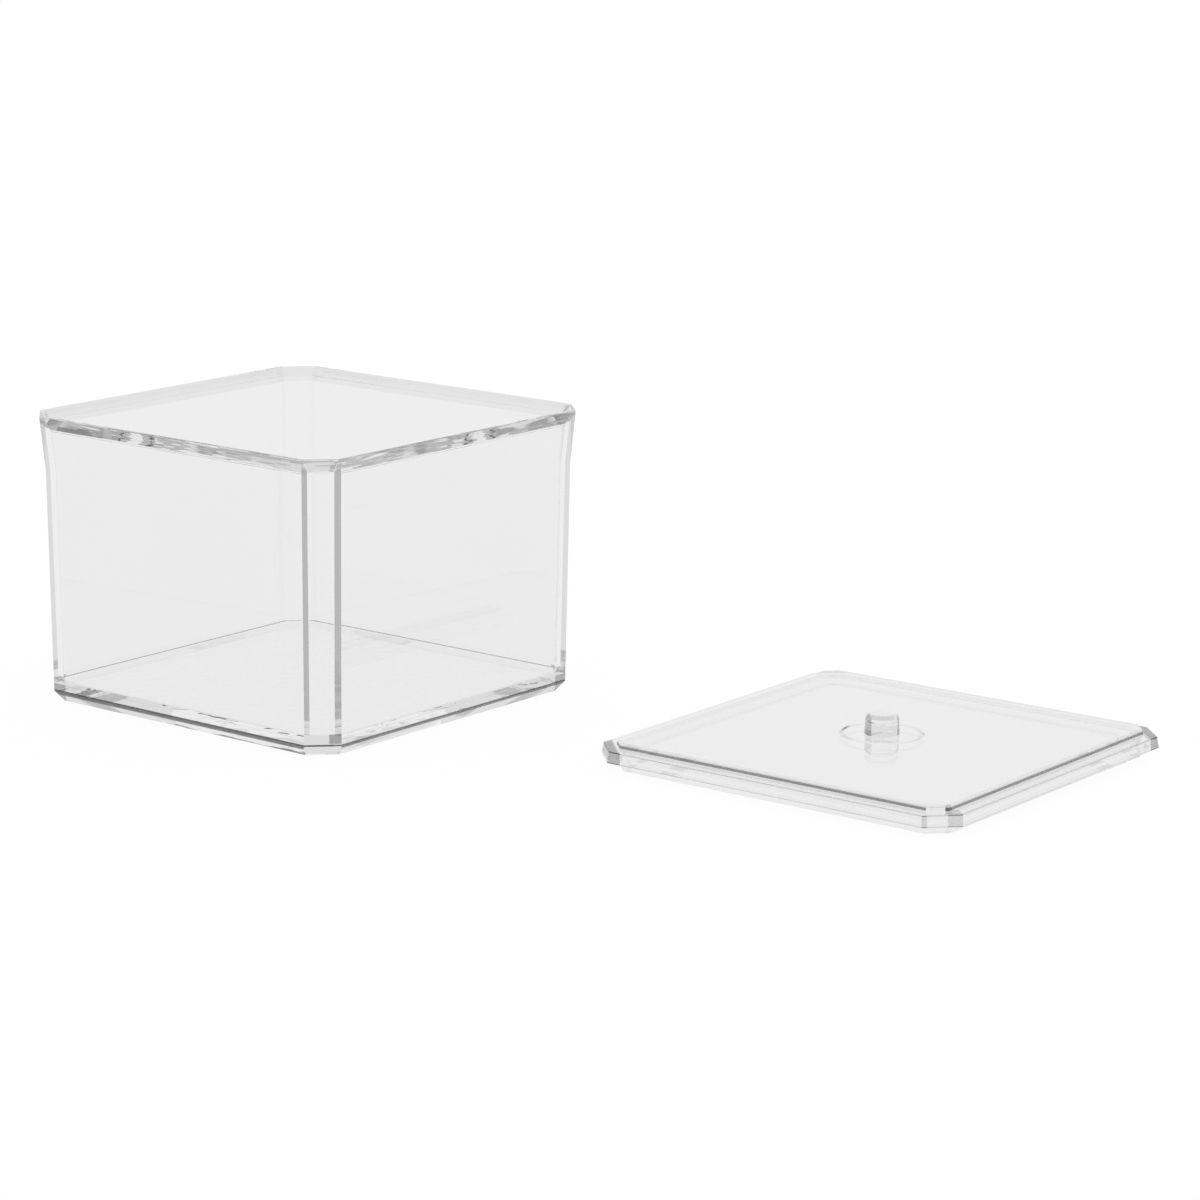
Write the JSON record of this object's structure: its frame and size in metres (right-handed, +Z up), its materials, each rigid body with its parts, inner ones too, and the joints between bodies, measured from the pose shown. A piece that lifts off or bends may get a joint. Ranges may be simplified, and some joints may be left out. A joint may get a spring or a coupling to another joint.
{
  "type": "acrylic storage box with lid",
  "caption": "Clear square acrylic storage box with cut corners and a lift-off lid with a round knob, the lid lying beside the box.",
  "frame": {"origin": "centre of the box's underside, on the surface that box and lid lie on", "axes": "+Z up out of the box's mouth, the box's walls facing X and Y, the lid lying off towards -Y"},
  "size_m": [0.1667, 0.2983, 0.0863],
  "materials": {
    "clear_acrylic": "polished clear acrylic"
  },
  "bodies": {
    "box": {"box_body": "clear_acrylic"},
    "lid": {"lid_plate": "clear_acrylic", "lid_knob": "clear_acrylic"}
  },
  "joints": [
    {"name": "lid_lift", "type": "slide", "parent": "box", "child": "lid", "axis": [0, 0, 1], "range_m": [0, 0.12]}
  ]
}
